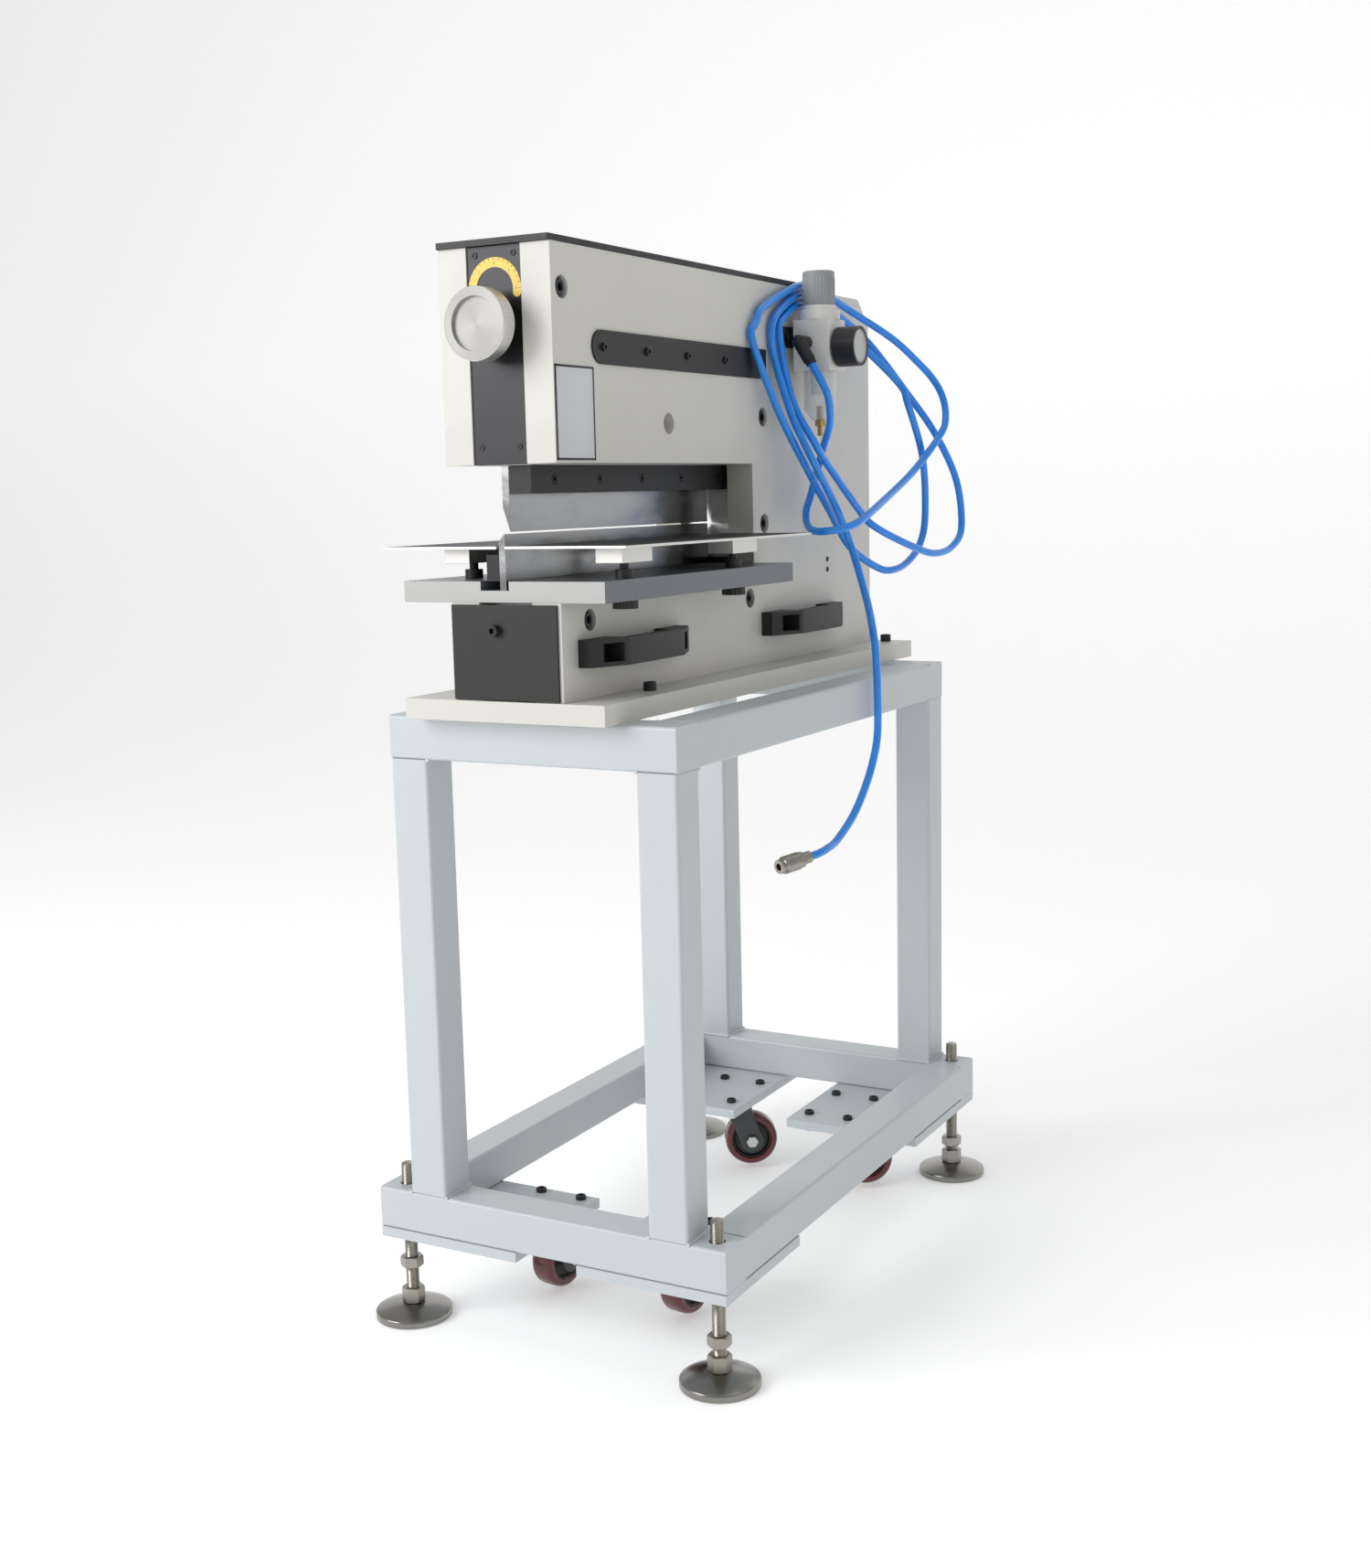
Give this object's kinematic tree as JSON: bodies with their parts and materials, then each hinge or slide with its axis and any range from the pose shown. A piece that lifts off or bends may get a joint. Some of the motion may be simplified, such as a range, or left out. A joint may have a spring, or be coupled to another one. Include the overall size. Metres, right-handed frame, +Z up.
{
  "type": "pcb depaneling machine",
  "caption": "Pneumatic V-groove circuit board separator: C-shaped body with upper and lower blades, two tables, air regulator and hose, on a stand with feet and casters.",
  "frame": {"origin": "on the floor, below the middle of the machine's bounding box", "axes": "+X to the machine's right as its operator faces it, +Y from the stroke knob to the rear, +Z up"},
  "size_m": [0.51, 0.894, 1.2521],
  "materials": {
    "stand_paint": "satin",
    "body_paint": "satin",
    "plate_face": "satin",
    "black_metal": "satin",
    "black_screws": "satin",
    "black_plastic": "matte",
    "steel": "satin",
    "blade_steel": "polished",
    "foot_steel": "satin",
    "caster_steel": "polished",
    "tyre_red": "satin",
    "aluminium": "satin",
    "label": "matte",
    "unit_white": "satin",
    "unit_grey": "satin",
    "clear_bowl": "gloss",
    "white_element": "matte",
    "brass": "satin",
    "needle": "satin",
    "hose_blue": "gloss"
  },
  "bodies": {
    "stand_and_body": {"stand_legs": "stand_paint", "top_rails": "stand_paint", "base_rails": "stand_paint", "caster_plates": "stand_paint", "caster_bolts": "black_screws", "caster_heads": "caster_steel", "base_plate": "body_paint", "left_side_plate": "body_paint", "right_side_plate": "body_paint", "spacer_blocks": "steel", "top_cap": "black_metal", "upper_front_plate": "plate_face", "lower_front_cover": "black_metal", "guide_bars": "black_metal", "carry_handles": "black_plastic", "body_screws": "black_screws", "platform": "steel", "lower_blade": "blade_steel", "lower_blade_clamp": "black_metal", "air_cylinder": "aluminium", "labels": "label", "regulator_bracket": "black_metal", "regulator_body": "unit_white", "filter_bowl": "clear_bowl", "filter_element": "white_element", "gauge_case": "black_plastic", "elbow_fitting": "black_plastic", "air_hose": "hose_blue", "hose_coupler": "foot_steel"},
    "blade_unit": {"blade_beam": "steel", "blade_holder": "black_metal", "upper_blade": "blade_steel"},
    "wedge_unit": {"wedge": "steel", "piston_rod": "blade_steel"},
    "stroke_knob": {"stroke_knob": "aluminium"},
    "left_table": {"left_table": "blade_steel"},
    "right_table": {"right_table": "blade_steel"},
    "regulator_knob": {"regulator_knob": "unit_grey"},
    "drain_valve": {"drain_valve": "brass"},
    "gauge_needle": {"gauge_needle": "needle"},
    "jack_lf": {"jack_lf": "steel"},
    "jack_lr": {"jack_lr": "steel"},
    "jack_rf": {"jack_rf": "steel"},
    "jack_rr": {"jack_rr": "steel"},
    "foot_pad_fl": {"foot_pad_fl": "foot_steel"},
    "foot_stud_fl": {"foot_stud_fl": "foot_steel"},
    "caster_fork_fl": {"caster_fork_fl": "caster_steel"},
    "caster_wheel_fl": {"caster_wheel_fl": "tyre_red"},
    "foot_pad_fr": {"foot_pad_fr": "foot_steel"},
    "foot_stud_fr": {"foot_stud_fr": "foot_steel"},
    "caster_fork_fr": {"caster_fork_fr": "caster_steel"},
    "caster_wheel_fr": {"caster_wheel_fr": "tyre_red"},
    "foot_pad_rl": {"foot_pad_rl": "foot_steel"},
    "foot_stud_rl": {"foot_stud_rl": "foot_steel"},
    "caster_fork_rl": {"caster_fork_rl": "caster_steel"},
    "caster_wheel_rl": {"caster_wheel_rl": "tyre_red"},
    "foot_pad_rr": {"foot_pad_rr": "foot_steel"},
    "foot_stud_rr": {"foot_stud_rr": "foot_steel"},
    "caster_fork_rr": {"caster_fork_rr": "caster_steel"},
    "caster_wheel_rr": {"caster_wheel_rr": "tyre_red"}
  },
  "joints": [
    {"name": "wedge_slide", "type": "slide", "parent": "stand_and_body", "child": "wedge_unit", "axis": [0, -1, 0], "range_m": [0, 0.025]},
    {"name": "blade_stroke", "type": "slide", "parent": "stand_and_body", "child": "blade_unit", "axis": [0, 0, -1], "range_m": [0, 0.0018]},
    {"name": "stroke_knob_turn", "type": "hinge", "parent": "stand_and_body", "child": "stroke_knob", "pos_m": [-0.007, -0.437, 1.153], "axis": [0, 1, 0], "range_deg": [-720, 720]},
    {"name": "left_table_lift", "type": "slide", "parent": "stand_and_body", "child": "left_table", "axis": [0, 0, 1], "range_m": [-0.004, 0.004]},
    {"name": "right_table_lift", "type": "slide", "parent": "stand_and_body", "child": "right_table", "axis": [0, 0, 1], "range_m": [-0.004, 0.004]},
    {"name": "regulator_knob_turn", "type": "hinge", "parent": "stand_and_body", "child": "regulator_knob", "pos_m": [0.098, 0.178, 1.23], "axis": [0, 0, 1], "range_deg": [-540, 540]},
    {"name": "drain_turn", "type": "hinge", "parent": "stand_and_body", "child": "drain_valve", "pos_m": [0.098, 0.178, 1.055], "axis": [0, 0, 1], "range_deg": [0, 180]},
    {"name": "needle_turn", "type": "hinge", "parent": "stand_and_body", "child": "gauge_needle", "pos_m": [0.15, 0.178, 1.156], "axis": [-1, 0, 0], "range_deg": [0, 270]},
    {"name": "jack_lf_turn", "type": "hinge", "parent": "stand_and_body", "child": "jack_lf", "pos_m": [-0.092, -0.342, 0.859], "axis": [0, 0, -1], "range_deg": [-965, 965]},
    {"name": "jack_lr_turn", "type": "hinge", "parent": "stand_and_body", "child": "jack_lr", "pos_m": [-0.092, -0.087, 0.859], "axis": [0, 0, -1], "range_deg": [-965, 965]},
    {"name": "jack_rf_turn", "type": "hinge", "parent": "stand_and_body", "child": "jack_rf", "pos_m": [0.103, -0.342, 0.859], "axis": [0, 0, -1], "range_deg": [-965, 965]},
    {"name": "jack_rr_turn", "type": "hinge", "parent": "stand_and_body", "child": "jack_rr", "pos_m": [0.103, -0.087, 0.859], "axis": [0, 0, -1], "range_deg": [-965, 965]},
    {"name": "foot_fl_height", "type": "slide", "parent": "stand_and_body", "child": "foot_pad_fl", "axis": [0, 0, -1], "range_m": [-0.012, 0.03]},
    {"name": "foot_fl_turn", "type": "hinge", "parent": "foot_pad_fl", "child": "foot_stud_fl", "pos_m": [-0.209, -0.362, 0.1], "axis": [0, 0, -1], "range_deg": [-2165, 5405]},
    {"name": "caster_fl_swivel", "type": "hinge", "parent": "stand_and_body", "child": "caster_fork_fl", "pos_m": [-0.09, -0.257, 0.092], "axis": [0, 0, 1], "continuous": true},
    {"name": "caster_fl_roll", "type": "hinge", "parent": "caster_fork_fl", "child": "caster_wheel_fl", "pos_m": [-0.08665, -0.22517, 0.0455], "axis": [-0.9945, 0.1045, 0], "continuous": true},
    {"name": "foot_fr_height", "type": "slide", "parent": "stand_and_body", "child": "foot_pad_fr", "axis": [0, 0, -1], "range_m": [-0.012, 0.03]},
    {"name": "foot_fr_turn", "type": "hinge", "parent": "foot_pad_fr", "child": "foot_stud_fr", "pos_m": [0.209, -0.362, 0.1], "axis": [0, 0, -1], "range_deg": [-2165, 5405]},
    {"name": "caster_fr_swivel", "type": "hinge", "parent": "stand_and_body", "child": "caster_fork_fr", "pos_m": [0.09, -0.257, 0.092], "axis": [0, 0, 1], "continuous": true},
    {"name": "caster_fr_roll", "type": "hinge", "parent": "caster_fork_fr", "child": "caster_wheel_fr", "pos_m": [0.09334, -0.22517, 0.0455], "axis": [-0.9945, 0.1045, 0], "continuous": true},
    {"name": "foot_rl_height", "type": "slide", "parent": "stand_and_body", "child": "foot_pad_rl", "axis": [0, 0, -1], "range_m": [-0.012, 0.03]},
    {"name": "foot_rl_turn", "type": "hinge", "parent": "foot_pad_rl", "child": "foot_stud_rl", "pos_m": [-0.209, 0.361, 0.1], "axis": [0, 0, -1], "range_deg": [-2165, 5405]},
    {"name": "caster_rl_swivel", "type": "hinge", "parent": "stand_and_body", "child": "caster_fork_rl", "pos_m": [-0.09, 0.243, 0.092], "axis": [0, 0, 1], "continuous": true},
    {"name": "caster_rl_roll", "type": "hinge", "parent": "caster_fork_rl", "child": "caster_wheel_rl", "pos_m": [-0.06286, 0.25996, 0.0455], "axis": [-0.5299, 0.848, 0], "continuous": true},
    {"name": "foot_rr_height", "type": "slide", "parent": "stand_and_body", "child": "foot_pad_rr", "axis": [0, 0, -1], "range_m": [-0.012, 0.03]},
    {"name": "foot_rr_turn", "type": "hinge", "parent": "foot_pad_rr", "child": "foot_stud_rr", "pos_m": [0.209, 0.361, 0.1], "axis": [0, 0, -1], "range_deg": [-2165, 5405]},
    {"name": "caster_rr_swivel", "type": "hinge", "parent": "stand_and_body", "child": "caster_fork_rr", "pos_m": [0.09, 0.243, 0.092], "axis": [0, 0, 1], "continuous": true},
    {"name": "caster_rr_roll", "type": "hinge", "parent": "caster_fork_rr", "child": "caster_wheel_rr", "pos_m": [0.11825, 0.25802, 0.0455], "axis": [-0.4695, 0.8829, 0], "continuous": true}
  ],
  "couplings": [
    {"joint": "blade_stroke", "follows": "wedge_slide", "ratio": 0.07},
    {"joint": "jack_lf_turn", "follows": "left_table_lift", "rad_per_m": 4188.8},
    {"joint": "jack_lr_turn", "follows": "left_table_lift", "rad_per_m": 4188.8},
    {"joint": "jack_rf_turn", "follows": "right_table_lift", "rad_per_m": 4188.8},
    {"joint": "jack_rr_turn", "follows": "right_table_lift", "rad_per_m": 4188.8},
    {"joint": "foot_fl_turn", "follows": "foot_fl_height", "rad_per_m": 3141.6},
    {"joint": "foot_fr_turn", "follows": "foot_fr_height", "rad_per_m": 3141.6},
    {"joint": "foot_rl_turn", "follows": "foot_rl_height", "rad_per_m": 3141.6},
    {"joint": "foot_rr_turn", "follows": "foot_rr_height", "rad_per_m": 3141.6}
  ]
}
